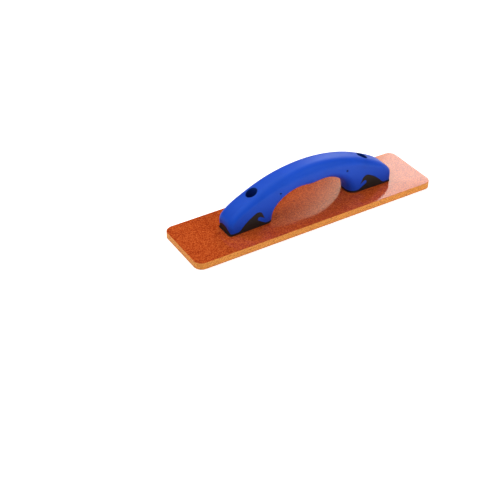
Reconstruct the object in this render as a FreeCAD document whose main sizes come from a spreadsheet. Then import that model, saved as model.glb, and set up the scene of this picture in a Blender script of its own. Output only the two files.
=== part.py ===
import FreeCAD, Part
import math
import os
import Sketcher

# Laminated hand float for concrete and mortar.
#
# A flat board of cloth laminate carries a one-piece bridge handle: a hard black core that
# stands on two feet, and a soft grip moulded round it. One screw goes down through each
# foot into a brass insert that is pressed into the board from above, so the sole stays whole.
#
# Origin: centre of the sole. +X runs along the board, +Z up. Millimetres.
# The handle is drawn in its own coordinates, centred on the board's upper face, and moved
# to its place on the board at the end.

SIZES = (
    # board
    ("board_length", "355.6", "board, end to end"),
    ("board_width", "88.9", "board, side to side"),
    ("board_thickness", "9.5", "board, sole to upper face"),
    ("board_corner_radius", "11", "board, corners seen from above"),
    ("board_edge_round", "0.6", "board, rounding of all its edges"),
    # handle seen from the side
    ("handle_offset", "7.6", "handle centre, along the board from its middle"),
    ("handle_length", "248", "handle, end face to end face"),
    ("crown_height", "63.8", "top of the handle above the board"),
    ("end_round_radius", "14", "round between the back's long arc and the end face"),
    ("end_round_height", "11.7", "centre of that round above the board"),
    ("gap_length", "116", "finger gap between the feet, at the board"),
    ("gap_height", "36.8", "finger gap, board to underside of the grip"),
    ("gap_squareness", "2.25", "exponent of the gap's outline, 2 is an ellipse"),
    ("finger_swell", "3.4", "swell of the grip's underside down into the gap, at its middle"),
    ("swell_length", "58", "length of that swell along the grip"),
    # handle seen from above and in section
    ("foot_outer_width", "30", "foot, width at the handle's end"),
    ("foot_inner_width", "28", "foot, width at the finger gap"),
    ("foot_outer_corner", "4", "foot, corner radius at the handle's end"),
    ("foot_inner_corner", "11", "foot, corner radius at the finger gap"),
    ("palm_width", "31.4", "grip, width of its upper side at the crown"),
    ("finger_width", "30.6", "grip, width of its underside at the crown"),
    ("grip_corner", "12", "grip, corner radius of its section at the crown"),
    ("width_rise", "2.2", "how early the width changes from foot to crown"),
    ("corner_rise", "2.7", "how early the corners soften from foot to crown"),
    # soft grip and core
    ("grip_wall", "3", "thickness of the soft grip over the core"),
    ("band_height", "3.2", "bare edge of the core all round each foot"),
    ("arch_width", "29", "bare arch in each end face, at the board"),
    ("arch_height", "11", "bare arch in each end face, above the board"),
    ("arch_depth", "12", "bare arch, depth into the foot"),
    ("window_tail", "56.5", "side window, centre of its hollow tail, out from the gap's end"),
    ("window_tail_radius", "9", "side window, radius of its hollow tail"),
    ("window_ramp_radius", "68", "side window, radius of the ramp"),
    ("window_crest", "25", "side window, crest, out from the gap's end"),
    ("window_height", "22.9", "side window, crest above the board"),
    ("window_crest_radius", "7", "side window, radius of the crest"),
    ("window_tip", "15", "side window, inner tip, out from the gap's end"),
    ("window_tip_height", "10.4", "side window, inner tip above the board"),
    ("window_inner", "13", "side window, inner end, out from the gap's end"),
    ("notch_centre", "22.5", "notch under the crest, round end, out from the gap's end"),
    ("notch_height", "12.2", "notch under the crest, round end above the board"),
    ("notch_radius", "2.8", "notch under the crest, round end"),
    ("pin_inset", "7.5", "pin marks left by the mould, in from the gap's end"),
    ("pin_height", "39.5", "pin marks above the board"),
    ("pin_diameter", "2.3", "pin marks"),
    ("pin_depth", "8", "pin marks, depth from the grip's widest line"),
    # fastening
    ("screw_inset", "26", "screws, out from the finger gap's end"),
    ("access_diameter", "14.5", "driver hole down through each foot"),
    ("lining_wall", "1.6", "soft lining of the driver hole"),
    ("lining_floor", "26", "lower end of that lining above the board"),
    ("seat_height", "10.5", "washer seat above the board"),
    ("screw_clearance", "0.3", "gap round the shank in the core and washers"),
    ("thread_clearance", "0.05", "gap between the smooth stand-ins of the threads"),
    ("shank_diameter", "6.35", "screw, outside of its thread"),
    ("screw_length", "19.05", "screw, under the head"),
    ("screw_tip_chamfer", "0.8", "screw, bevel at its tip"),
    ("head_diameter", "12.3", "screw head"),
    ("head_height", "4.4", "screw head"),
    ("head_edge", "1.8", "screw head, height of its upright edge"),
    ("recess_width", "1.5", "cross recess, width of each slot"),
    ("recess_length", "6.4", "cross recess, tip to tip"),
    ("recess_depth", "2.6", "cross recess, depth"),
    ("washer_diameter", "12.6", "flat washer"),
    ("washer_thickness", "1.6", "flat washer"),
    ("lock_diameter", "12.2", "split lock washer"),
    ("lock_thickness", "1.6", "split lock washer, pressed flat"),
    ("lock_split", "1.2", "split lock washer, width of its split"),
    ("lock_split_angle", "30", "split lock washer, slant of its split"),
    ("insert_diameter", "8.8", "threaded insert, over its knurls"),
    ("insert_length", "7.4", "threaded insert, and the pocket it is pressed into"),
    ("insert_groove", "2.2", "threaded insert, height of the groove between its knurls"),
    ("insert_groove_depth", "0.5", "threaded insert, depth of that groove"),
)

# Fan planes of the handle turn about the cross line at its centre. Each zone of the back
# has its own planes, given as shares of the zone's angle.
FACE_SHARES = (0.0, 1.0)
ROUND_SHARES = (0.5, 1.0)
CROWN_SHARES = (0.15, 0.35, 0.55, 0.78, 1.0)

SIDES = (("front", 1), ("rear", -1))
REACH = 200          # longer than anything in the handle, for tools that cut right through

# The side windows run down into the bare band: shares of the band's height at which their
# tail bottoms out and their floor lies.
TAIL_SHARE = 0.8
FLOOR_SHARE = 0.9

doc = FreeCAD.newDocument("hand_float")


# ---------------------------------------------------------------- sheets

def fill_sizes():
    """Write the driving dimensions, one alias a row."""
    sheet = doc.addObject("Spreadsheet::Sheet", "Sizes")
    for row, (alias, value, meaning) in enumerate(SIZES, start=1):
        sheet.set("A%d" % row, meaning)
        sheet.set("B%d" % row, value)
        sheet.setAlias("B%d" % row, alias)
    return sheet


def fill_profile():
    """Work out the fan sections of the handle from the sizes, one section a row.

    The back is one long arc through the crown that runs into the round of each end: the arc's
    centre follows from the crown's height and the round's place.
    """
    sheet = doc.addObject("Spreadsheet::Sheet", "Profile")
    shared = (
        ("end_x", "Sizes.handle_length / 2"),
        ("round_x", "end_x - Sizes.end_round_radius"),
        ("round_z", "Sizes.end_round_height"),
        ("round_top_z", "Sizes.crown_height - Sizes.end_round_radius"),
        ("crown_centre_z", "(round_top_z ^ 2 - round_x ^ 2 - round_z ^ 2) / (2 * (round_top_z - round_z))"),
        ("crown_radius", "Sizes.crown_height - crown_centre_z"),
        ("face_top", "atan2(round_z; end_x)"),
        ("meet_share", "crown_radius / (crown_radius - Sizes.end_round_radius)"),
        ("meet_x", "round_x * meet_share"),
        ("meet_z", "crown_centre_z + (round_z - crown_centre_z) * meet_share"),
        ("round_top", "atan2(meet_z; meet_x)"),
        ("swell_reach", "cos(atan2(Sizes.gap_height; Sizes.swell_length / 2))"),
    )
    for row, (alias, formula) in enumerate(shared, start=1):
        sheet.set("A%d" % row, "=" + formula)
        sheet.setAlias("A%d" % row, alias)

    face = "end_x / cos(fan_{0})"
    rounded = ("round_x * cos(fan_{0}) + round_z * sin(fan_{0}) + sqrt(Sizes.end_round_radius ^ 2"
               " - (round_x * sin(fan_{0}) - round_z * cos(fan_{0})) ^ 2)")
    crown = ("crown_centre_z * sin(fan_{0}) + sqrt(crown_radius ^ 2"
             " - (crown_centre_z * cos(fan_{0})) ^ 2)")
    stations = []
    for share in FACE_SHARES:
        stations.append(("face_top * %g" % share, face))
    for share in ROUND_SHARES:
        stations.append(("face_top + (round_top - face_top) * %g" % share, rounded))
    for share in CROWN_SHARES:
        stations.append(("round_top + (90 deg - round_top) * %g" % share, crown))

    columns = (
        ("C", "fan_{0}", None),
        ("D", "outer_{0}", None),
        ("E", "inner_{0}", "pow(pow(cos(fan_{0}) / (Sizes.gap_length / 2); Sizes.gap_squareness)"
                           " + pow(sin(fan_{0}) / Sizes.gap_height; Sizes.gap_squareness);"
                           " -1 / Sizes.gap_squareness) - Sizes.finger_swell * swell_{0}"),
        ("L", "swell_{0}", "pow(max(0; 1 - pow(cos(fan_{0}) / swell_reach; 2)); 2)"),
        ("F", "widen_{0}", "1 - pow(1 - sin(fan_{0}); Sizes.width_rise)"),
        ("G", "soften_{0}", "1 - pow(1 - sin(fan_{0}); Sizes.corner_rise)"),
        ("H", "outer_half_{0}", "(Sizes.foot_outer_width + (Sizes.palm_width"
                                " - Sizes.foot_outer_width) * widen_{0}) / 2"),
        ("I", "inner_half_{0}", "(Sizes.foot_inner_width + (Sizes.finger_width"
                                " - Sizes.foot_inner_width) * widen_{0}) / 2"),
        ("J", "outer_corner_{0}", "min(Sizes.foot_outer_corner + (Sizes.grip_corner"
                                  " - Sizes.foot_outer_corner) * soften_{0};"
                                  " outer_half_{0} * 0.96; (outer_{0} - inner_{0}) * 0.48)"),
        ("K", "inner_corner_{0}", "min(Sizes.foot_inner_corner + (Sizes.grip_corner"
                                  " - Sizes.foot_inner_corner) * soften_{0};"
                                  " inner_half_{0} * 0.96; (outer_{0} - inner_{0}) * 0.48)"),
    )
    for number, (angle, reach) in enumerate(stations, start=1):
        for column, alias, formula in columns:
            if column == "C":
                formula = angle
            if column == "D":
                formula = reach
            cell = "%s%d" % (column, number)
            sheet.set(cell, "=" + formula.format(number))
            sheet.setAlias(cell, alias.format(number))
    return sheet, len(stations)


# ---------------------------------------------------------------- helpers

def size(alias):
    """The number in a cell of the sizes, for a sketch's starting positions."""
    return float(sizes.get(alias))


def plain(value):
    """A sheet value as a plain number, whether or not it carries a unit."""
    return float(getattr(value, "Value", value))


def station_value(alias, number):
    return plain(profile.get("%s_%d" % (alias, number)))


def origin_plane(body, role):
    for feature in body.Origin.OriginFeatures:
        if feature.Role == role:
            return feature
    raise RuntimeError("no plane " + role)


def new_body(name):
    return doc.addObject("PartDesign::Body", name)


def new_sketch(body, name, role):
    sketch = body.newObject("Sketcher::SketchObject", name)
    sketch.AttachmentSupport = [(origin_plane(body, role), "")]
    sketch.MapMode = "FlatFace"
    return sketch


def bind(target, **expressions):
    """Tie an object's own properties to expressions; a double underscore stands for a dot."""
    for name, expression in expressions.items():
        target.setExpression(name.replace("__", "."), expression)


def constrain(sketch, name, constraint, expression):
    """Add a named constraint whose value follows an expression."""
    index = sketch.addConstraint(constraint)
    sketch.renameConstraint(index, name)
    sketch.setExpression("Constraints." + name, expression)


def close_loop(sketch, edges):
    """Join each edge's end to the next one's start."""
    for here, ahead in zip(edges, edges[1:] + edges[:1]):
        sketch.addConstraint(Sketcher.Constraint("Coincident", here, 2, ahead, 1))


def pad(body, name, sketch, length, midplane=False):
    feature = body.newObject("PartDesign::Pad", name)
    feature.Profile = sketch
    feature.setExpression("Length", length)
    if midplane:
        feature.SideType = "Symmetric"
    return feature


def circle_sketch(body, name, role, diameter, **offset):
    """A circle about the sketch's own origin, which the offsets move, all as expressions."""
    sketch = new_sketch(body, name, role)
    ring = Part.Circle(FreeCAD.Vector(0, 0, 0), FreeCAD.Vector(0, 0, 1), 1)
    circle = sketch.addGeometry(ring, False)
    sketch.addConstraint(Sketcher.Constraint("Coincident", circle, 3, -1, 1))
    constrain(sketch, "diameter", Sketcher.Constraint("Diameter", circle, 2.0), diameter)
    for axis, expression in offset.items():
        sketch.setExpression("AttachmentOffset.Base." + axis, expression)
    return sketch


def cylinder(name, diameter, height, **place):
    item = doc.addObject("Part::Cylinder", name)
    bind(item, Radius="(%s) / 2" % diameter, Height=height)
    for axis, expression in place.items():
        item.setExpression("Placement.Base." + axis, expression)
    return item


def cut(name, base, tool):
    item = doc.addObject("Part::Cut", name)
    item.Base = base
    item.Tool = tool
    return item


def fuse(name, shapes):
    item = doc.addObject("Part::MultiFuse", name)
    item.Shapes = shapes
    return item


def on_handle(item):
    """Move a finished piece from handle coordinates to its place on the board."""
    bind(item, Placement__Base__x="Sizes.handle_offset", Placement__Base__z="Sizes.board_thickness")


def screw_line(sign):
    """Expression for the screw's place along the handle, from the handle's centre."""
    return "%d * (Sizes.gap_length / 2 + Sizes.screw_inset)" % sign


def place_on_screw_line(item, sign, height):
    """Stand a piece on the line of a screw, at a height above the board."""
    bind(item, Placement__Base__x="Sizes.handle_offset + " + screw_line(sign),
         Placement__Base__z="Sizes.board_thickness + " + height)


# ---------------------------------------------------------------- board

def make_board():
    body = new_body("board")
    sketch = new_sketch(body, "board_outline", "XY_Plane")
    half_x = size("board_length") / 2
    half_y = size("board_width") / 2
    radius = size("board_corner_radius")
    point = FreeCAD.Vector
    corners = []
    for sign_x, sign_y, start in ((1, 1, 0), (-1, 1, 90), (-1, -1, 180), (1, -1, 270)):
        centre = point(sign_x * (half_x - radius), sign_y * (half_y - radius), 0)
        ring = Part.Circle(centre, point(0, 0, 1), radius)
        arc = Part.ArcOfCircle(ring, math.radians(start), math.radians(start + 90))
        corners.append(sketch.addGeometry(arc, False))
    sides = []
    for here, ahead in zip(corners, corners[1:] + corners[:1]):
        begin = sketch.getPoint(here, 2)
        end = sketch.getPoint(ahead, 1)
        sides.append(sketch.addGeometry(Part.LineSegment(begin, end), False))
    for number, side in enumerate(sides):
        sketch.addConstraint(Sketcher.Constraint("Tangent", corners[number], 2, side, 1))
        sketch.addConstraint(Sketcher.Constraint("Tangent", side, 2, corners[(number + 1) % 4], 1))
    for other in corners[1:]:
        sketch.addConstraint(Sketcher.Constraint("Equal", corners[0], other))
    sketch.addConstraint(Sketcher.Constraint("Horizontal", sides[0]))
    sketch.addConstraint(Sketcher.Constraint("Vertical", sides[1]))
    sketch.addConstraint(Sketcher.Constraint("Symmetric", corners[0], 3, corners[2], 3, -1, 1))
    constrain(sketch, "corner", Sketcher.Constraint("Radius", corners[0], radius),
              "Sizes.board_corner_radius")
    constrain(sketch, "half_length",
              Sketcher.Constraint("DistanceX", -1, 1, corners[0], 3, half_x - radius),
              "Sizes.board_length / 2 - Sizes.board_corner_radius")
    constrain(sketch, "half_width",
              Sketcher.Constraint("DistanceY", -1, 1, corners[0], 3, half_y - radius),
              "Sizes.board_width / 2 - Sizes.board_corner_radius")
    slab = pad(body, "board_slab", sketch, "Sizes.board_thickness")
    doc.recompute()

    rounding = body.newObject("PartDesign::Fillet", "board_rounding")
    flat_faces = [name for name, face in named_faces(slab) if abs(face.normalAt(0, 0).z) > 0.99]
    rounding.Base = (slab, flat_faces)
    bind(rounding, Radius="Sizes.board_edge_round")
    doc.recompute()

    for side, sign in SIDES:
        circle = circle_sketch(body, side + "_insert_circle", "XY_Plane", "Sizes.insert_diameter",
                               x="Sizes.handle_offset + " + screw_line(sign),
                               z="Sizes.board_thickness")
        pocket = body.newObject("PartDesign::Pocket", side + "_insert_pocket")
        pocket.Profile = circle
        bind(pocket, Length="Sizes.insert_length")
    doc.recompute()
    return body


def named_faces(feature):
    """Face names of a feature with the faces themselves."""
    return [("Face%d" % number, face) for number, face in enumerate(feature.Shape.Faces, start=1)]


# ---------------------------------------------------------------- handle

def section_sketch(body, name, station, mirrored, inset):
    """One fan section: a rounded trapezoid, wider or narrower at the back than at the gap.

    The sketch's own X runs out from the fan's axis and its Y across the handle.
    """
    sketch = new_sketch(body, name, "XY_Plane")
    fan = station_value("fan", station)
    if mirrored:
        fan = 180 - fan
    turn = FreeCAD.Rotation(FreeCAD.Vector(0, -1, 0), fan)
    sketch.AttachmentOffset = FreeCAD.Placement(FreeCAD.Vector(0, 0, 0), turn)
    angle = "Profile.fan_%d" % station
    if mirrored:
        angle = "180 deg - " + angle
    sketch.setExpression("AttachmentOffset.Rotation.Angle", angle)

    point = FreeCAD.Vector
    outer_corner = station_value("outer_corner", station)
    inner_corner = station_value("inner_corner", station)
    outer_x = station_value("outer", station) - outer_corner
    inner_x = station_value("inner", station) + inner_corner
    outer_y = station_value("outer_half", station) - outer_corner
    inner_y = station_value("inner_half", station) - inner_corner
    span = math.hypot(outer_x - inner_x, outer_y - inner_y)
    slope = math.atan2(outer_y - inner_y, outer_x - inner_x)
    lean = slope + math.acos((inner_corner - outer_corner) / span)

    outer_radius = outer_corner - inset
    inner_radius = inner_corner - inset
    arcs = []
    for x, y, radius, begin, end in (
            (outer_x, outer_y, outer_radius, 0, lean),
            (inner_x, inner_y, inner_radius, lean, math.pi),
            (inner_x, -inner_y, inner_radius, math.pi, 2 * math.pi - lean),
            (outer_x, -outer_y, outer_radius, 2 * math.pi - lean, 2 * math.pi)):
        ring = Part.Circle(point(x, y, 0), point(0, 0, 1), radius)
        arcs.append(sketch.addGeometry(Part.ArcOfCircle(ring, begin, end), False))
    for here, ahead in zip(arcs, arcs[1:] + arcs[:1]):
        edge = Part.LineSegment(sketch.getPoint(here, 2), sketch.getPoint(ahead, 1))
        side = sketch.addGeometry(edge, False)
        sketch.addConstraint(Sketcher.Constraint("Tangent", here, 2, side, 1))
        sketch.addConstraint(Sketcher.Constraint("Tangent", side, 2, ahead, 1))
    for upper, lower in ((arcs[0], arcs[3]), (arcs[1], arcs[2])):
        sketch.addConstraint(Sketcher.Constraint("Symmetric", upper, 3, lower, 3, -1))
        sketch.addConstraint(Sketcher.Constraint("Equal", upper, lower))

    wall = ""
    if inset:
        wall = " - Sizes.grip_wall"
    for part, arc, x, y, radius, sign in (("outer", arcs[0], outer_x, outer_y, outer_radius, "-"),
                                          ("inner", arcs[1], inner_x, inner_y, inner_radius, "+")):
        reach = "Profile.%s_%d" % (part, station)
        half = "Profile.%s_half_%d" % (part, station)
        corner = "Profile.%s_corner_%d" % (part, station)
        constrain(sketch, part + "_centre_x",
                  Sketcher.Constraint("DistanceX", -1, 1, arc, 3, x), "%s %s %s" % (reach, sign, corner))
        constrain(sketch, part + "_centre_y",
                  Sketcher.Constraint("DistanceY", -1, 1, arc, 3, y), "%s - %s" % (half, corner))
        constrain(sketch, part + "_radius",
                  Sketcher.Constraint("Radius", arc, radius), corner + wall)
    return sketch


def make_bridge(name, inset):
    """The whole bridge form, lofted from foot to foot; inset by the soft wall or not."""
    body = new_body(name)
    order = [(number, False) for number in range(1, station_count + 1)]
    order += [(number, True) for number in range(station_count - 1, 0, -1)]
    sections = []
    for place, (station, mirrored) in enumerate(order, start=1):
        sections.append(section_sketch(body, "%s_section_%d" % (name, place), station, mirrored, inset))
    loft = body.newObject("PartDesign::AdditiveLoft", name + "_loft")
    loft.Profile = sections[0]
    loft.Sections = sections[1:]
    doc.recompute()
    return body


def from_gap_end(alias):
    """Expression for a place in a foot, measured out from the end of the finger gap."""
    return "Sizes.gap_length / 2 + Sizes." + alias


def meeting_point(first, reach, second, other_reach):
    """The point at given distances from two others, on the right of the line between them."""
    line = second.sub(first)
    along = (reach ** 2 - other_reach ** 2 + line.Length ** 2) / (2 * line.Length)
    across = math.sqrt(reach ** 2 - along ** 2)
    line.normalize()
    return first.add(line * along).add(FreeCAD.Vector(line.y, -line.x, 0) * across)


def bearing(origin, target):
    return math.atan2(target.y - origin.y, target.x - origin.x)


def tangent_bearing(centre, radius, target, side):
    """Direction from a circle's centre to where a line from the target touches it."""
    return bearing(centre, target) + side * math.acos(radius / centre.distanceToPoint(target))


def make_window(side, sign):
    """A bare part of the core in both flanks of a foot.

    Going round it: the floor, hidden in the bare band; a hollow tail; the ramp; the crest;
    a straight fall to the tip; and the notch that the soft grip fills under the crest.
    """
    body = new_body(side + "_window")
    sketch = new_sketch(body, side + "_window_outline", "XZ_Plane")
    point = FreeCAD.Vector
    gap_end = size("gap_length") / 2
    floor_height = size("band_height") * FLOOR_SHARE
    tail_radius = size("window_tail_radius")
    ramp_radius = size("window_ramp_radius")
    crest_radius = size("window_crest_radius")
    notch_radius = size("notch_radius")
    tail = point(gap_end + size("window_tail"), size("band_height") * TAIL_SHARE + tail_radius, 0)
    crest = point(gap_end + size("window_crest"), size("window_height") - crest_radius, 0)
    ramp = meeting_point(crest, ramp_radius - crest_radius, tail, ramp_radius + tail_radius)
    tip = point(gap_end + size("window_tip"), size("window_tip_height"), 0)
    notch = point(gap_end + size("notch_centre"), size("notch_height"), 0)
    low = point(gap_end + size("window_inner"), floor_height, 0)
    tail_end = -math.pi / 2 - math.acos((tail.y - floor_height) / tail_radius)

    arcs = []
    for centre, radius, begin, end in (
            (tail, tail_radius, bearing(tail, ramp), tail_end),
            (ramp, ramp_radius, bearing(ramp, tail), bearing(ramp, crest)),
            (crest, crest_radius, bearing(ramp, crest), tangent_bearing(crest, crest_radius, tip, -1)),
            (notch, notch_radius, tangent_bearing(notch, notch_radius, low, 1),
             tangent_bearing(notch, notch_radius, tip, -1))):
        ring = Part.Circle(centre, point(0, 0, 1), radius)
        span = (end - begin) % (2 * math.pi)
        arcs.append(sketch.addGeometry(Part.ArcOfCircle(ring, begin, begin + span), False))
    tail_arc, ramp_arc, crest_arc, notch_arc = arcs
    lines = []
    for begin, end in ((low, sketch.getPoint(tail_arc, 2)), (sketch.getPoint(crest_arc, 2), tip),
                       (tip, sketch.getPoint(notch_arc, 2)), (sketch.getPoint(notch_arc, 1), low)):
        lines.append(sketch.addGeometry(Part.LineSegment(begin, end), False))
    floor, fall, roof, sill = lines
    for kind, here, here_end, ahead, ahead_end in (
            ("Coincident", floor, 2, tail_arc, 2), ("Tangent", tail_arc, 1, ramp_arc, 1),
            ("Tangent", ramp_arc, 2, crest_arc, 1), ("Tangent", crest_arc, 2, fall, 1),
            ("Coincident", fall, 2, roof, 1), ("Tangent", roof, 2, notch_arc, 2),
            ("Tangent", notch_arc, 1, sill, 1), ("Coincident", sill, 2, floor, 1)):
        sketch.addConstraint(Sketcher.Constraint(kind, here, here_end, ahead, ahead_end))
    sketch.addConstraint(Sketcher.Constraint("Horizontal", floor))
    for name, item, radius in (("tail_radius", tail_arc, "window_tail_radius"),
                               ("ramp_radius", ramp_arc, "window_ramp_radius"),
                               ("crest_radius", crest_arc, "window_crest_radius"),
                               ("round_end", notch_arc, "notch_radius")):
        constrain(sketch, name, Sketcher.Constraint("Radius", item, size(radius)), "Sizes." + radius)
    for name, item, end, place, across, up in (
            ("tail", tail_arc, 3, tail, from_gap_end("window_tail"),
             "Sizes.band_height * %g + Sizes.window_tail_radius" % TAIL_SHARE),
            ("crest", crest_arc, 3, crest, from_gap_end("window_crest"),
             "Sizes.window_height - Sizes.window_crest_radius"),
            ("tip", fall, 2, tip, from_gap_end("window_tip"), "Sizes.window_tip_height"),
            ("notch", notch_arc, 3, notch, from_gap_end("notch_centre"), "Sizes.notch_height"),
            ("low", floor, 1, low, from_gap_end("window_inner"),
             "Sizes.band_height * %g" % FLOOR_SHARE)):
        constrain(sketch, name + "_x", Sketcher.Constraint("DistanceX", -1, 1, item, end, place.x), across)
        constrain(sketch, name + "_y", Sketcher.Constraint("DistanceY", -1, 1, item, end, place.y), up)
    pad(body, side + "_window_pad", sketch, "%d" % REACH, midplane=True)
    if sign < 0:
        body.Placement = FreeCAD.Placement(point(0, 0, 0), FreeCAD.Rotation(point(0, 0, 1), 180))
    return body


def make_end_arch(side, sign):
    """The bare arch in an end face: a disc's upper part, sunk into the foot."""
    arch = doc.addObject("Part::Cylinder", side + "_arch")
    rise = "(pow(Sizes.arch_width / 2; 2) + pow(Sizes.arch_height; 2)) / (2 * Sizes.arch_height)"
    bind(arch, Radius=rise, Height="Sizes.arch_depth * 2",
         Placement__Base__z="Sizes.arch_height - %s" % rise)
    arch.Placement.Rotation = FreeCAD.Rotation(FreeCAD.Vector(0, 1, 0), 90)
    arch.setExpression("Placement.Base.x",
                       "%d * Sizes.handle_length / 2 - Sizes.arch_depth" % sign)
    return arch


def make_handle():
    """The grip and the core: one outer form, shared out between the two."""
    outside = make_bridge("bridge", False)
    inside = make_bridge("inner_bridge", True)

    band = doc.addObject("Part::Box", "band_slab")
    bind(band, Length="%d * 2" % REACH, Width="%d * 2" % REACH, Height="2 * Sizes.band_height",
         Placement__Base__z="-Sizes.band_height")
    band.Placement.Base.x = -REACH
    band.Placement.Base.y = -REACH
    shapes = [inside, band]
    for side, sign in SIDES:
        shapes.append(make_window(side, sign))
        shapes.append(make_end_arch(side, sign))
    linings = []
    for side, sign in SIDES:
        linings.append(cylinder(side + "_lining", "Sizes.access_diameter + 2 * Sizes.lining_wall",
                                "%d" % REACH, x=screw_line(sign), z="Sizes.lining_floor"))
    core_space = cut("core_space", fuse("core_shapes", shapes), fuse("bore_linings", linings))
    core_body = doc.addObject("Part::MultiCommon", "core_body")
    core_body.Shapes = [outside, core_space]
    grip_body = cut("grip_body", outside, core_space)

    bores = []
    for side, sign in SIDES:
        bores.append(cylinder(side + "_access", "Sizes.access_diameter", "%d" % REACH,
                              x=screw_line(sign), z="Sizes.seat_height"))
        bores.append(cylinder(side + "_shank_hole", "Sizes.shank_diameter + 2 * Sizes.screw_clearance",
                              "Sizes.seat_height * 2", x=screw_line(sign), z="-Sizes.seat_height / 2"))
        for flank, way in (("near", -1), ("far", 1)):
            mark = cylinder("%s_%s_pin_mark" % (side, flank), "Sizes.pin_diameter", "%d" % REACH,
                            x="%d * (Sizes.gap_length / 2 - Sizes.pin_inset)" % sign,
                            z="Sizes.pin_height")
            mark.Placement.Rotation = FreeCAD.Rotation(FreeCAD.Vector(1, 0, 0), -90 * way)
            mark.setExpression("Placement.Base.y",
                               "%d * (Sizes.palm_width / 2 - Sizes.pin_depth)" % way)
            bores.append(mark)
    holes = fuse("handle_holes", bores)
    core = cut("handle_core", core_body, holes)
    grip = cut("soft_grip", grip_body, holes)
    on_handle(core)
    on_handle(grip)
    return core, grip


# ---------------------------------------------------------------- fastening

def make_screw(side, sign):
    """Pan head screw: a turned blank with a cross recess; the shank is as wide as its thread."""
    body = new_body(side + "_screw")
    sketch = new_sketch(body, side + "_screw_half", "XZ_Plane")
    point = FreeCAD.Vector
    shank = size("shank_diameter") / 2
    bevel = size("screw_tip_chamfer")
    head = size("head_diameter") / 2
    top = size("head_height")
    edge = size("head_edge")
    length = size("screw_length")
    corners = [point(0, -length, 0), point(shank - bevel, -length, 0), point(shank, bevel - length, 0),
               point(shank, 0, 0), point(head, 0, 0), point(head, edge, 0)]
    edges = [sketch.addGeometry(Part.LineSegment(a, b), False) for a, b in zip(corners, corners[1:])]
    dome = (head ** 2 + (top - edge) ** 2) / (2 * (top - edge))
    ring = Part.Circle(point(0, top - dome, 0), point(0, 0, 1), dome)
    begin = math.atan2(edge - top + dome, head)
    edges.append(sketch.addGeometry(Part.ArcOfCircle(ring, begin, math.pi / 2), False))
    edges.append(sketch.addGeometry(Part.LineSegment(point(0, top, 0), corners[0]), False))
    close_loop(sketch, edges)
    tip, slant, wall, under, rim, crown, axis = edges
    sketch.addConstraint(Sketcher.Constraint("PointOnObject", axis, 1, -2))
    sketch.addConstraint(Sketcher.Constraint("PointOnObject", axis, 2, -2))
    sketch.addConstraint(Sketcher.Constraint("PointOnObject", crown, 3, -2))
    sketch.addConstraint(Sketcher.Constraint("PointOnObject", under, 1, -1))
    for line in (tip, under):
        sketch.addConstraint(Sketcher.Constraint("Horizontal", line))
    for line in (wall, rim):
        sketch.addConstraint(Sketcher.Constraint("Vertical", line))
    for name, way, item, end, value, expression in (
            ("length", "DistanceY", tip, 1, -length, "-Sizes.screw_length"),
            ("tip", "DistanceX", tip, 2, shank - bevel, "Sizes.shank_diameter / 2 - Sizes.screw_tip_chamfer"),
            ("bevel", "DistanceY", wall, 1, bevel - length, "Sizes.screw_tip_chamfer - Sizes.screw_length"),
            ("shank", "DistanceX", wall, 1, shank, "Sizes.shank_diameter / 2"),
            ("head", "DistanceX", rim, 1, head, "Sizes.head_diameter / 2"),
            ("edge", "DistanceY", rim, 2, edge, "Sizes.head_edge"),
            ("top", "DistanceY", crown, 2, top, "Sizes.head_height")):
        constrain(sketch, name, Sketcher.Constraint(way, -1, 1, item, end, value), expression)
    turned = body.newObject("PartDesign::Revolution", side + "_blank")
    turned.Profile = sketch
    turned.ReferenceAxis = (sketch, ["V_Axis"])
    turned.Angle = 360
    doc.recompute()
    for number, (wide, high) in enumerate((("recess_length", "recess_width"),
                                           ("recess_width", "recess_length")), start=1):
        slot = rectangle_sketch(body, "%s_slot_sketch_%d" % (side, number), wide, high)
        slot.setExpression("AttachmentOffset.Base.z", "Sizes.head_height")
        pocket = body.newObject("PartDesign::Pocket", "%s_slot_%d" % (side, number))
        pocket.Profile = slot
        bind(pocket, Length="Sizes.recess_depth")
    doc.recompute()
    washers = "Sizes.seat_height + Sizes.washer_thickness + Sizes.lock_thickness"
    place_on_screw_line(body, sign, washers)
    return body


def rectangle_sketch(body, name, wide, high):
    """A rectangle about the sketch's origin, its sides given as names of sizes."""
    sketch = new_sketch(body, name, "XY_Plane")
    half_x = size(wide) / 2
    half_y = size(high) / 2
    corners = [FreeCAD.Vector(x * half_x, y * half_y, 0) for x, y in ((1, 1), (-1, 1), (-1, -1), (1, -1))]
    edges = [sketch.addGeometry(Part.LineSegment(a, b), False)
             for a, b in zip(corners, corners[1:] + corners[:1])]
    close_loop(sketch, edges)
    for line in (edges[0], edges[2]):
        sketch.addConstraint(Sketcher.Constraint("Horizontal", line))
    for line in (edges[1], edges[3]):
        sketch.addConstraint(Sketcher.Constraint("Vertical", line))
    sketch.addConstraint(Sketcher.Constraint("Symmetric", edges[0], 1, edges[2], 1, -1, 1))
    constrain(sketch, "half_x", Sketcher.Constraint("DistanceX", -1, 1, edges[0], 1, half_x),
              "Sizes.%s / 2" % wide)
    constrain(sketch, "half_y", Sketcher.Constraint("DistanceY", -1, 1, edges[0], 1, half_y),
              "Sizes.%s / 2" % high)
    return sketch


def make_washer(side, sign):
    blank = cylinder(side + "_washer_blank", "Sizes.washer_diameter", "Sizes.washer_thickness")
    hole = cylinder(side + "_washer_hole", "Sizes.shank_diameter + 2 * Sizes.screw_clearance",
                    "Sizes.washer_thickness")
    washer = cut(side + "_flat_washer", blank, hole)
    place_on_screw_line(washer, sign, "Sizes.seat_height")
    return washer


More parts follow.
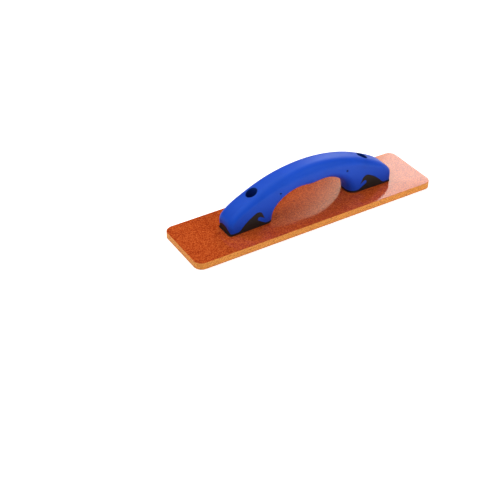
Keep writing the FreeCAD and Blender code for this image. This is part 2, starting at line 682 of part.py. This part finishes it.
def make_lock_washer(side, sign):
    blank = cylinder(side + "_lock_blank", "Sizes.lock_diameter", "Sizes.lock_thickness")
    hole = cylinder(side + "_lock_hole", "Sizes.shank_diameter + 2 * Sizes.screw_clearance",
                    "Sizes.lock_thickness")
    split = doc.addObject("Part::Box", side + "_lock_cutter")
    bind(split, Length="Sizes.lock_diameter", Width="Sizes.lock_split",
         Height="Sizes.lock_thickness * 4")
    split.Placement.Rotation = FreeCAD.Rotation(FreeCAD.Vector(1, 0, 0), size("lock_split_angle"))
    bind(split, Placement__Rotation__Angle="Sizes.lock_split_angle * 1 deg",
         Placement__Base__y="sin(Sizes.lock_split_angle * 1 deg) * Sizes.lock_thickness",
         Placement__Base__z="-Sizes.lock_thickness")
    washer = cut(side + "_lock_washer", blank, fuse(side + "_lock_tools", [hole, split]))
    place_on_screw_line(washer, sign, "Sizes.seat_height + Sizes.washer_thickness")
    return washer


def make_insert(side, sign):
    """Brass insert, pressed flush into the board: two knurled bands with a groove between."""
    body = new_body(side + "_threaded_insert")
    outside = circle_sketch(body, side + "_insert_outside", "XY_Plane", "Sizes.insert_diameter")
    pad(body, side + "_insert_bar", outside, "Sizes.insert_length")
    bore = circle_sketch(body, side + "_insert_bore_circle", "XY_Plane",
                         "Sizes.shank_diameter + 2 * Sizes.thread_clearance",
                         z="Sizes.insert_length")
    drill = body.newObject("PartDesign::Pocket", side + "_insert_bore")
    drill.Profile = bore
    bind(drill, Length="Sizes.insert_length")
    doc.recompute()
    ring = cylinder(side + "_groove_ring", "Sizes.insert_diameter * 2", "Sizes.insert_groove",
                    z="(Sizes.insert_length - Sizes.insert_groove) / 2")
    neck = cylinder(side + "_groove_neck", "Sizes.insert_diameter - 2 * Sizes.insert_groove_depth",
                    "Sizes.insert_length")
    insert = cut(side + "_insert", body, cut(side + "_groove_cutter", ring, neck))
    place_on_screw_line(insert, sign, "-Sizes.insert_length")
    return insert


# ---------------------------------------------------------------- assembly

def check(items):
    """Stop before anything is written if the document holds a failed object or a bad shape."""
    for item in doc.Objects:
        if "Invalid" in item.State or "Error" in item.State:
            raise RuntimeError("failed: %s %s" % (item.Name, item.State))
    for item in items:
        shape = item.Shape
        if shape.isNull() or not shape.isValid() or not shape.Solids:
            raise RuntimeError("bad shape: " + item.Label)


sizes = fill_sizes()
doc.recompute()
profile, station_count = fill_profile()
doc.recompute()

pieces = [make_board()]
pieces.extend(make_handle())
for side, sign in SIDES:
    pieces.append(make_screw(side, sign))
    pieces.append(make_lock_washer(side, sign))
    pieces.append(make_washer(side, sign))
    pieces.append(make_insert(side, sign))
doc.recompute()
check(pieces)

os.makedirs("parts", exist_ok=True)
for piece in pieces:
    piece.Shape.exportStep("parts/%s.step" % piece.Label)
    box = piece.Shape.BoundBox
    print("%-24s %d solid  %9.1f mm3  x %.1f %.1f  y %.1f %.1f  z %.1f %.1f" % (
        piece.Label, len(piece.Shape.Solids), piece.Shape.Volume,
        box.XMin, box.XMax, box.YMin, box.YMax, box.ZMin, box.ZMax))
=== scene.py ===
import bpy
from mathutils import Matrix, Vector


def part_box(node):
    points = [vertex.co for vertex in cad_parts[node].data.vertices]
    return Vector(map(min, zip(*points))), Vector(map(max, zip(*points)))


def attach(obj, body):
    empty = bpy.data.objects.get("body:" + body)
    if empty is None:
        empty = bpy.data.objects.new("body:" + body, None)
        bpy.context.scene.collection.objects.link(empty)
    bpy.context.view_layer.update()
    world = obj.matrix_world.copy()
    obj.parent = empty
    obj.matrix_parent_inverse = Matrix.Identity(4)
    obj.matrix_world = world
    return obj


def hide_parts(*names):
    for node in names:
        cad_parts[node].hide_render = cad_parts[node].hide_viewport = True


bl_info = {
    "name": "Laminated Hand Float",
    "version": (1, 0, 0),
    "blender": (4, 5, 0),
    "location": "View3D > Sidebar > Hand Float",
    "description": "Builds the visible pieces, finishes and stage of a laminated hand float",
    "category": "Object",
}

import math

import bmesh
import bpy
from mathutils import Matrix, Vector

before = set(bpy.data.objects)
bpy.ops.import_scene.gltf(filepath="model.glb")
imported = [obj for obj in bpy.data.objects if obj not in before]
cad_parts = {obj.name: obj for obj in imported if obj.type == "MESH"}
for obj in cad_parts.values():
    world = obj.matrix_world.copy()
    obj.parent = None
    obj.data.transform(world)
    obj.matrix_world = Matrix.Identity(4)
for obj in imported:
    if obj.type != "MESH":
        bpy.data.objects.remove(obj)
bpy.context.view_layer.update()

SIDES = (("front", 1), ("rear", -1))    # name of a foot, and its direction along X

SMOOTH_ANGLE = math.radians(35)         # an edge sharper than this keeps its crease
WELD_DISTANCE = 1e-6

# Grip: its driver holes and the painted shade on their walls, the darker marks left by the
# mould's pins, and its grain.
HOLE_RADIUS = 0.00725
HOLE_SHADE_FADE = (HOLE_RADIUS + 0.0001, HOLE_RADIUS + 0.0004)    # where the painted shade on the hole's wall fades out
PIN_RADIUS = 0.00115
# the pin marks are painted darker, fading out between these radii
PIN_MARK_FADE = (PIN_RADIUS + 0.0002, PIN_RADIUS + 0.0007)
PIN_FROM_SCREW = 0.0335
PIN_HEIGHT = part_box("board")[1].z + 0.0395
HOLE_SHADE_AND_PIN_SHARE = 0.4                       # share of the grip's colour left in the painted hole shade and at the darker pin marks
GRAIN_ROUGHNESS = 0.1                   # how far the grip's grain varies its roughness

# Patterns of the laminate: how fine each is, and its share in the tone of the faces.
MOTTLE_SCALE, MOTTLE_SHARE = 560, 0.66
SPECK_SCALE, SPECK_SHARE = 1100, 0.26
CLOUD_SCALE, CLOUD_SHARE = 45, 0.08
WEAVE_SHARE = 0.08
DARK_TONE, FACE_TONE, LIGHT_TONE = 0.39, 0.5, 0.63
PLY_TONE, EDGE_TONE, PALE_TONE = 0.36, 0.52, 0.66
THREAD_WANDER = 6.0                     # radians that a thread strays from its place
PLY_WANDER = 3.0
PLY_SHARE, FIBRE_SHARE = 0.3, 0.7       # in the tone of the sawn edge
FIBRE_STRETCH = (420, 420, 1300)        # the fibres are flatter than they are long
WEAVE_RELIEF, SPECK_RELIEF, PLY_RELIEF = 0.12, 0.12, 0.8
MOTTLE_ROUGHNESS = 0.06
EDGE_SLOPE = (0.55, 0.9)                # upright share of the normal: edge below, face above
EDGE_ROUGHNESS = 0.6
SOLE_SHADOW_HEIGHTS = (0.0002, 0.0016)          # painted contact shadow fades out up the edge, above the sole
SOLE_SHADOW_SHARE = 0.6

# Usual lowest and highest value of a noise.
NOISE_LOW, NOISE_HIGH = 0.3, 0.7

# Sockets of the Mix node when it blends colours.
MIX_SHARE, MIX_FIRST, MIX_SECOND, MIX_RESULT = 0, 6, 7, 2

# Stage: floor, glowing card and camera.
FLOOR_WIDTH = 24
CARD_WIDTH = 2.0
CARD_HEIGHT = 0.75
CARD_WHITE = Vector((0.92, 0.88, 0.82))
CARD_WARM = Vector((0.80, 0.70, 0.56))
CARD_FADE = (                           # place across the card, colour, share of the glow
    (0.34, CARD_WHITE, 0.0), (0.38, CARD_WHITE, 1.0), (0.62, CARD_WHITE, 1.0),
    (0.66, CARD_WARM, 0.95), (0.70, CARD_WARM, 0.55), (0.74, CARD_WARM, 0.17),
    (0.80, CARD_WARM, 0.0))
SKY_COLOUR = (0.9, 0.94, 1.0, 1.0)
SENSOR_WIDTH = 36                       # millimetres
NEAREST_SEEN = 0.01


# ---------------------------------------------------------------- settings

class BoardSettings(bpy.types.PropertyGroup):
    """Finish of the laminated board."""

    face_colour: bpy.props.FloatVectorProperty(
        name="Face colour", description="Resin-soaked cloth seen on the flat faces",
        subtype="COLOR", size=3, min=0, max=1, default=(0.50, 0.066, 0.010))
    light_colour: bpy.props.FloatVectorProperty(
        name="Light thread colour", description="Threads that took up less resin",
        subtype="COLOR", size=3, min=0, max=1, default=(0.68, 0.15, 0.032))
    # also the colour of the painted contact shadow along the foot of the sawn edge
    dark_colour: bpy.props.FloatVectorProperty(
        name="Dark thread colour", description="Deeper rust of the soaked threads",
        subtype="COLOR", size=3, min=0, max=1, default=(0.24, 0.018, 0.003))
    edge_colour: bpy.props.FloatVectorProperty(
        name="Edge colour", description="Sawn edge, where the resin is thin",
        subtype="COLOR", size=3, min=0, max=1, default=(0.80, 0.265, 0.034))
    edge_light: bpy.props.FloatVectorProperty(
        name="Light edge colour", description="Palest cloth in the sawn edge",
        subtype="COLOR", size=3, min=0, max=1, default=(0.96, 0.46, 0.09))
    ply_colour: bpy.props.FloatVectorProperty(
        name="Ply line colour", description="Darker resin between two plies",
        subtype="COLOR", size=3, min=0, max=1, default=(0.36, 0.08, 0.008))
    thread_pitch: bpy.props.FloatProperty(
        name="Thread pitch", description="Distance between threads of the cloth",
        subtype="DISTANCE", unit="LENGTH", default=0.0009)
    ply_thickness: bpy.props.FloatProperty(
        name="Ply thickness", description="Thickness of one ply of cloth",
        subtype="DISTANCE", unit="LENGTH", default=0.0006)
    gloss_roughness: bpy.props.FloatProperty(
        name="Face roughness", description="Roughness of the pressed faces",
        min=0, max=1, default=0.08)


class HandleSettings(bpy.types.PropertyGroup):
    """Finish of the bridge handle."""

    grip_colour: bpy.props.FloatVectorProperty(
        name="Grip colour", description="Soft blue skin",
        subtype="COLOR", size=3, min=0, max=1, default=(0.004, 0.060, 0.55))
    core_colour: bpy.props.FloatVectorProperty(
        name="Core colour", description="Hard black moulding",
        subtype="COLOR", size=3, min=0, max=1, default=(0.013, 0.011, 0.009))
    grip_roughness: bpy.props.FloatProperty(
        name="Grip roughness", description="Roughness of the soft skin",
        min=0, max=1, default=0.5)


class FasteningSettings(bpy.types.PropertyGroup):
    """Finish of the screws, washers and inserts."""

    steel_colour: bpy.props.FloatVectorProperty(
        name="Steel colour", description="Zinc plated steel",
        subtype="COLOR", size=3, min=0, max=1, default=(0.60, 0.61, 0.60))
    brass_colour: bpy.props.FloatVectorProperty(
        name="Brass colour", description="Turned brass",
        subtype="COLOR", size=3, min=0, max=1, default=(0.80, 0.58, 0.27))


class StageSettings(bpy.types.PropertyGroup):
    """Floor, lamps and camera."""

    floor_colour: bpy.props.FloatVectorProperty(
        name="Floor colour", description="Plain pale floor",
        subtype="COLOR", size=3, min=0, max=1, default=(0.9, 0.9, 0.9))
    table_glow: bpy.props.FloatProperty(
        name="Table glow", description="Light of the table's own, which lifts the shadow",
        min=0, default=0.5)
    card_glow: bpy.props.FloatProperty(
        name="Card glow", description="Brightness of the card behind the front end",
        min=0, default=10.2)
    surroundings: bpy.props.FloatProperty(
        name="Surroundings", description="Dim light from all round the studio",
        min=0, default=0.05)
    lens: bpy.props.FloatProperty(
        name="Lens", description="Focal length for a 36 mm sensor",
        subtype="DISTANCE_CAMERA", unit="CAMERA", default=80.347)
    azimuth: bpy.props.FloatProperty(
        name="Azimuth", description="Camera's turn round the float, 0 looks along +Y",
        subtype="ANGLE", unit="ROTATION", default=math.radians(-30.8307))
    elevation: bpy.props.FloatProperty(
        name="Elevation", description="Camera's height above the horizon",
        subtype="ANGLE", unit="ROTATION", default=math.radians(36.1536))
    roll: bpy.props.FloatProperty(
        name="Roll", description="Camera's roll",
        subtype="ANGLE", unit="ROTATION", default=math.radians(-0.2436))
    distance: bpy.props.FloatProperty(
        name="Distance", description="Camera to the point it looks at",
        subtype="DISTANCE", unit="LENGTH", default=1.3156)
    target: bpy.props.FloatVectorProperty(
        name="Target", description="Point that the camera looks at",
        subtype="TRANSLATION", unit="LENGTH", size=3, default=(-0.10836, -0.02572, 0.0095))


# ---------------------------------------------------------------- shader maths

class Wire:
    """One output socket, with arithmetic that adds Math nodes."""

    def __init__(self, finish, socket):
        self.finish = finish
        self.socket = socket

    def _maths(self, operation, first, second=0.0):
        return self.finish.node("ShaderNodeMath", {"operation": operation},
                                {0: first, 1: second})

    def __add__(self, other):
        return self._maths("ADD", self, other)

    __radd__ = __add__

    def __sub__(self, other):
        return self._maths("SUBTRACT", self, other)

    def __rsub__(self, other):
        return self._maths("SUBTRACT", other, self)

    def __mul__(self, other):
        return self._maths("MULTIPLY", self, other)

    __rmul__ = __mul__

    def sine(self):
        return self._maths("SINE", self)

    def size(self):
        return self._maths("ABSOLUTE", self)

    def root(self):
        return self._maths("SQRT", self)

    def step(self, low, high):
        """0 below low, 1 above high, smooth between."""
        return self.finish.node("ShaderNodeMapRange", {"interpolation_type": "SMOOTHSTEP"},
                                {"Value": self, "From Min": low, "From Max": high})


def opaque(colour):
    """A colour socket's value from three numbers; a wire passes through."""
    return colour if isinstance(colour, Wire) else (*colour, 1.0)


class Finish:
    """A material and the few ways its nodes are added."""

    def __init__(self, name):
        self.material = bpy.data.materials.new(name)
        self.material.use_nodes = True
        self.tree = self.material.node_tree
        self.tree.nodes.clear()

    def node(self, kind, settings=None, inputs=None, output=0):
        """Add a node: its settings first, then the values or links of its sockets."""
        node = self.tree.nodes.new(kind)
        for name, value in (settings or {}).items():
            if name == "stops":
                self._set_stops(node.color_ramp, value)
            else:
                setattr(node, name, value)
        for key, value in (inputs or {}).items():
            socket = node.inputs[key]
            if isinstance(value, Wire):
                self.tree.links.new(value.socket, socket)
            else:
                socket.default_value = value
        return Wire(self, node.outputs[output]) if node.outputs else None

    def _set_stops(self, ramp, stops):
        while len(ramp.elements) < len(stops):
            ramp.elements.new(1.0)
        for element, (position, colour) in zip(ramp.elements, stops):
            element.position = position
            element.color = opaque(colour)

    def place(self, scale=(1, 1, 1)):
        """Object coordinates, stretched by a scale."""
        point = self.node("ShaderNodeTexCoord", output="Object")
        return self.node("ShaderNodeVectorMath", {"operation": "MULTIPLY"},
                         {0: point, 1: scale})

    def axes(self, vector):
        """The X, Y and Z of a vector."""
        split = self.node("ShaderNodeSeparateXYZ", inputs={0: vector})
        return [Wire(self, output) for output in split.socket.node.outputs]

    def noise(self, scale, detail, roughness=0.5, stretch=(1, 1, 1)):
        """Cloudy pattern fixed to the piece."""
        return self.node("ShaderNodeTexNoise", inputs={
            "Vector": self.place(stretch), "Scale": scale, "Detail": detail,
            "Roughness": roughness})

    def ramp(self, value, stops):
        """Colour from a value, through stops of a position and a colour."""
        return self.node("ShaderNodeValToRGB", {"stops": stops}, {"Fac": value})

    def shade(self, value, colour, low, high):
        """A colour made darker or lighter by a noise, from low to high times itself."""
        base = Vector(colour)
        return self.ramp(value, ((NOISE_LOW, base * low), (NOISE_HIGH, base * high)))

    def mix(self, share, first, second):
        """A share of the second colour over the first."""
        inputs = {MIX_SHARE: share, MIX_FIRST: opaque(first), MIX_SECOND: opaque(second)}
        return self.node("ShaderNodeMix", {"data_type": "RGBA"}, inputs, MIX_RESULT)

    def bump(self, height, distance, strength):
        """Normal of a surface raised by a height."""
        return self.node("ShaderNodeBump", inputs={"Height": height, "Distance": distance,
                                                   "Strength": strength})

    def surface(self, **sockets):
        """Close the material with a Principled shader; underscores stand for spaces."""
        inputs = {name.replace("_", " "): value for name, value in sockets.items()}
        shader = self.node("ShaderNodeBsdfPrincipled", inputs=inputs)
        self.node("ShaderNodeOutputMaterial", inputs={"Surface": shader})
        return self.material


# ---------------------------------------------------------------- finishes

def laminate_finish(settings):
    """Cloth under resin: woven faces with a gloss, matt sawn edges that show the plies, and a
    painted contact shadow where the edges meet the table.
    """
    m = Finish("cloth_laminate")
    x, y, z = m.axes(m.place())
    normal = m.node("ShaderNodeNewGeometry", output="Normal")
    facing = m.axes(normal)[2].size().step(*EDGE_SLOPE)

    wander = (m.noise(scale=90, detail=2) - 0.5) * THREAD_WANDER
    turn = math.tau / settings.thread_pitch
    weave = (x * turn + wander).sine() * (y * turn + wander).sine()
    mottle = m.noise(MOTTLE_SCALE, detail=4, roughness=0.7)
    speck = m.noise(SPECK_SCALE, detail=2)
    cloud = m.noise(CLOUD_SCALE, detail=2)
    tone = (mottle * MOTTLE_SHARE + speck * SPECK_SHARE + cloud * CLOUD_SHARE
            + weave * WEAVE_SHARE)
    face = m.ramp(tone, ((DARK_TONE, settings.dark_colour), (FACE_TONE, settings.face_colour),
                         (LIGHT_TONE, settings.light_colour)))

    fibre = m.noise(scale=1.0, detail=3, roughness=0.6, stretch=FIBRE_STRETCH)
    layer = z * (math.tau / settings.ply_thickness) + (fibre - 0.5) * PLY_WANDER
    ply = layer.sine() * 0.5 + 0.5
    sawn = m.ramp(ply * PLY_SHARE + fibre * FIBRE_SHARE,
                  ((PLY_TONE, settings.ply_colour), (EDGE_TONE, settings.edge_colour),
                   (PALE_TONE, settings.edge_light)))

    # painted contact shadow along the foot of the sawn edge, in the dark thread colour
    sole_shadow = (1 - z.step(*SOLE_SHADOW_HEIGHTS)) * (1 - facing)
    colour = m.mix(sole_shadow * SOLE_SHADOW_SHARE, m.mix(facing, sawn, face), settings.dark_colour)
    gloss = mottle * MOTTLE_ROUGHNESS + settings.gloss_roughness
    height = (weave * facing * WEAVE_RELIEF + speck * SPECK_RELIEF
              + (1 - facing) * ply * PLY_RELIEF)
    return m.surface(Base_Color=colour,
                     Roughness=gloss * facing + (1 - facing) * EDGE_ROUGHNESS,
                     IOR=1.55, Specular_IOR_Level=0.18,
                     Normal=m.bump(height, distance=0.00002, strength=0.5))


def hole_shade_and_pin_marks(m):
    """1 on the walls of the driver holes, where shade is painted, and at the mould's pin
    marks, which are painted darker.
    """
    x, y, z = m.axes(m.place())
    inside = 0.0
    for side, sign in SIDES:
        low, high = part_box(side + "_screw")
        screw_x = (low.x + high.x) / 2
        from_screw = x - screw_x
        from_pin = x - (screw_x - sign * PIN_FROM_SCREW)
        above_pin = z - PIN_HEIGHT
        to_screw = (from_screw * from_screw + y * y).root()
        to_pin = (from_pin * from_pin + above_pin * above_pin).root()
        inside = inside + (1 - to_screw.step(*HOLE_SHADE_FADE))
        inside = inside + (1 - to_pin.step(*PIN_MARK_FADE))
    return inside


def grip_finish(settings):
    """Soft-touch blue skin: satin, with a fine moulded grain, painted shade in its holes and
    darker pin marks.
    """
    m = Finish("soft_skin")
    grain = m.noise(scale=2600, detail=2)
    cloud = m.noise(scale=28, detail=2)
    skin = m.shade(cloud * 0.7 + grain * 0.3, settings.grip_colour, 0.9, 1.08)
    # colour of the painted shade in the driver holes and of the darker pin marks
    hole_shade_and_pin_colour = Vector(settings.grip_colour) * HOLE_SHADE_AND_PIN_SHARE
    smoothest = settings.grip_roughness - GRAIN_ROUGHNESS / 2
    return m.surface(Base_Color=m.mix(hole_shade_and_pin_marks(m), skin, hole_shade_and_pin_colour),
                     Roughness=grain * GRAIN_ROUGHNESS + smoothest,
                     IOR=1.5, Specular_IOR_Level=0.4, Specular_Tint=(0.4, 0.78, 1.0, 1.0),
                     Normal=m.bump(grain, distance=0.00003, strength=0.5))


def core_finish(settings):
    """Hard black moulding with a spark-eroded grain."""
    m = Finish("core_moulding")
    grain = m.noise(scale=1900, detail=3, roughness=0.6)
    return m.surface(Base_Color=m.shade(grain, settings.core_colour, 0.75, 1.5),
                     Roughness=grain * 0.2 + 0.45, IOR=1.5, Specular_IOR_Level=0.25,
                     Normal=m.bump(grain, distance=0.00005, strength=0.6))


def metal_finish(name, colour, roughness, scale):
    """Turned and plated metal: fine rings of tool marks and a cloudy plating."""
    m = Finish(name)
    marks = m.noise(scale=1.0, detail=2, stretch=(scale, scale, scale * 6))
    cloud = m.noise(scale=350, detail=3, roughness=0.6)
    return m.surface(Base_Color=m.shade(cloud, colour, 0.8, 1.1), Metallic=1.0,
                     Roughness=marks * 0.2 + cloud * 0.1 + roughness,
                     Normal=m.bump(marks, distance=0.00002, strength=0.5))


# ---------------------------------------------------------------- pieces

def coat(item, material):
    """Give an item one material in place of any that it has."""
    item.data.materials.clear()
    item.data.materials.append(material)


def smooth_copy(name, node, material):
    """A welded, smoothly shaded copy of a CAD node that stands for it."""
    item = bpy.data.objects.new(name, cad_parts[node].data.copy())
    bpy.context.scene.collection.objects.link(item)
    mesh = bmesh.new()
    mesh.from_mesh(item.data)
    bmesh.ops.remove_doubles(mesh, verts=mesh.verts, dist=WELD_DISTANCE)
    for face in mesh.faces:
        face.smooth = True
    for edge in mesh.edges:
        edge.smooth = len(edge.link_faces) == 2 and edge.calc_face_angle() < SMOOTH_ANGLE
    mesh.to_mesh(item.data)
    mesh.free()
    coat(item, material)
    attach(item, "root")
    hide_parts(node)


# ---------------------------------------------------------------- stage

def flat_sheet(name, width, height):
    """A flat stage piece about its own origin, facing +Z."""
    mesh = bmesh.new()
    bmesh.ops.create_grid(mesh, x_segments=1, y_segments=1, size=0.5)
    bmesh.ops.scale(mesh, vec=(width, height, 1), verts=mesh.verts)
    data = bpy.data.meshes.new(name)
    mesh.to_mesh(data)
    mesh.free()
    sheet = bpy.data.objects.new(name, data)
    bpy.context.scene.collection.objects.link(sheet)
    return sheet


def make_floor(settings):
    """A pale table with a little glow of its own, so that it keeps no dark shadow."""
    floor = flat_sheet("floor", FLOOR_WIDTH, FLOOR_WIDTH)
    m = Finish("pale_table")
    cloud = m.noise(scale=3, detail=2)
    colour = m.shade(cloud, settings.floor_colour, 0.995, 1.005)
    floor.data.materials.append(m.surface(Base_Color=colour, Roughness=0.9,
                                          Emission_Color=(1.0, 0.99, 0.98, 1.0),
                                          Emission_Strength=settings.table_glow))


def direction(turn, rise):
    """Unit vector from the float outwards, turned from -Y and raised, in radians."""
    return Vector((math.sin(turn) * math.cos(rise), -math.cos(turn) * math.cos(rise),
                   math.sin(rise)))


def aim(item, azimuth, elevation, distance, target):
    """Stand an item off a target and turn its +Z away from it; angles in degrees."""
    away = direction(math.radians(azimuth), math.radians(elevation))
    item.location = Vector(target) + away * distance
    item.rotation_euler = away.to_track_quat("Z", "Y").to_euler()


def add_lamp(name, azimuth, elevation, distance, width, height, power, target):
    """A rectangular soft box that shines at a target."""
    light = bpy.data.lights.new(name, "AREA")
    light.shape = "RECTANGLE"
    light.size = width
    light.size_y = height
    light.energy = power
    lamp = bpy.data.objects.new(name, light)
    bpy.context.scene.collection.objects.link(lamp)
    aim(lamp, azimuth, elevation, distance, target)


def make_lamps(settings):
    """Soft studio light: a key over the rear end, three fills, a top box, dim surroundings."""
    add_lamp("key_box", azimuth=-110, elevation=70, distance=1.0, width=1.4, height=1.2,
             power=10.0, target=(-0.10, 0.02, 0))
    add_lamp("front_fill", azimuth=-25, elevation=30, distance=2.2, width=1.6, height=1.0,
             power=3.6, target=(0, 0, 0))
    add_lamp("end_fill", azimuth=25, elevation=38, distance=0.7, width=0.45, height=0.45,
             power=1.75, target=(0.08, 0, 0.03))
    add_lamp("back_fill", azimuth=190, elevation=42, distance=1.5, width=0.8, height=1.2,
             power=0.9, target=(0.05, 0, 0))
    add_lamp("top_box", azimuth=142, elevation=64, distance=1.3, width=0.5, height=0.5,
             power=1.9, target=(0.08, 0, 0.05))
    world = bpy.data.worlds.new("studio")
    bpy.context.scene.world = world
    world.use_nodes = True
    background = world.node_tree.nodes["Background"]
    background.inputs["Color"].default_value = SKY_COLOUR
    background.inputs["Strength"].default_value = settings.surroundings
    bpy.context.scene.view_settings.view_transform = "Standard"


def make_card(settings):
    """A wide card behind the front end that the polished board mirrors.

    It glows fully in a band and fades towards the rear end of the board.
    """
    card = flat_sheet("glow_card", CARD_WIDTH, CARD_HEIGHT)
    aim(card, azimuth=130, elevation=32, distance=1.9, target=(0.10, 0, 0))
    m = Finish("glowing_card")
    across = m.axes(m.place())[0] * (1 / CARD_WIDTH) + 0.5
    glow = m.ramp(across, [(place, tint * share) for place, tint, share in CARD_FADE])
    card.data.materials.append(m.surface(Base_Color=(0.0, 0.0, 0.0, 1.0), Emission_Color=glow,
                                         Emission_Strength=settings.card_glow))


def make_camera(scene, settings):
    """The camera, which looks down on the float from beside its rear end."""
    data = bpy.data.cameras.new("camera")
    data.sensor_width = SENSOR_WIDTH
    data.lens = settings.lens
    data.clip_start = NEAREST_SEEN
    camera = bpy.data.objects.new("camera", data)
    scene.collection.objects.link(camera)
    away = direction(settings.azimuth, settings.elevation)
    stand = Matrix.Translation(Vector(settings.target) + away * settings.distance)
    turn = away.to_track_quat("Z", "Y").to_matrix() @ Matrix.Rotation(settings.roll, 3, "Z")
    camera.matrix_world = stand @ turn.to_4x4()
    scene.camera = camera


# ---------------------------------------------------------------- operators

class FLOAT_OT_board(bpy.types.Operator):
    """Finish the board"""

    bl_idname = "hand_float.board"
    bl_label = "Board"

    def execute(self, context):
        finish = laminate_finish(context.scene.float_board)
        smooth_copy("laminated_board", "board", finish)
        return {"FINISHED"}


class FLOAT_OT_handle(bpy.types.Operator):
    """Build the core and the soft grip of the handle"""

    bl_idname = "hand_float.handle"
    bl_label = "Handle"

    def execute(self, context):
        settings = context.scene.float_handle
        smooth_copy("moulded_core", "handle_core", core_finish(settings))
        smooth_copy("soft_skin", "soft_grip", grip_finish(settings))
        return {"FINISHED"}


class FLOAT_OT_fastenings(bpy.types.Operator):
    """Finish the screws, washers and inserts"""

    bl_idname = "hand_float.fastenings"
    bl_label = "Fastenings"

    def execute(self, context):
        settings = context.scene.float_fastening
        zinc = metal_finish("zinc_plated", settings.steel_colour, roughness=0.22, scale=700)
        brass = metal_finish("turned_brass", settings.brass_colour, roughness=0.2, scale=900)
        for side, _ in SIDES:
            for piece in ("screw", "lock_washer", "flat_washer"):
                coat(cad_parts["%s_%s" % (side, piece)], zinc)
            coat(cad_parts[side + "_insert"], brass)
        return {"FINISHED"}


class FLOAT_OT_stage(bpy.types.Operator):
    """Set the floor, the lamps and the camera"""

    bl_idname = "hand_float.stage"
    bl_label = "Stage"

    def execute(self, context):
        settings = context.scene.float_stage
        make_floor(settings)
        make_lamps(settings)
        make_card(settings)
        make_camera(context.scene, settings)
        return {"FINISHED"}


# ---------------------------------------------------------------- panel and registration

class FLOAT_PT_panel(bpy.types.Panel):
    """Sidebar panel that lists the pieces"""

    bl_idname = "FLOAT_PT_panel"
    bl_label = "Hand Float"
    bl_space_type = "VIEW_3D"
    bl_region_type = "UI"
    bl_category = "Hand Float"

    def draw(self, context):
        for operator in OPERATORS:
            self.layout.operator(operator.bl_idname)


SETTINGS = (("float_board", BoardSettings), ("float_handle", HandleSettings),
            ("float_fastening", FasteningSettings), ("float_stage", StageSettings))
OPERATORS = (FLOAT_OT_board, FLOAT_OT_handle, FLOAT_OT_fastenings, FLOAT_OT_stage)


def register():
    for name, group in SETTINGS:
        bpy.utils.register_class(group)
        setattr(bpy.types.Scene, name, bpy.props.PointerProperty(type=group))
    for item in (*OPERATORS, FLOAT_PT_panel):
        bpy.utils.register_class(item)


def unregister():
    for item in (FLOAT_PT_panel, *reversed(OPERATORS)):
        bpy.utils.unregister_class(item)
    for name, group in reversed(SETTINGS):
        delattr(bpy.types.Scene, name)
        bpy.utils.unregister_class(group)


def main():
    register()
    bpy.ops.hand_float.board()
    bpy.ops.hand_float.handle()
    bpy.ops.hand_float.fastenings()
    bpy.ops.hand_float.stage()


if __name__ == "__main__":
    main()
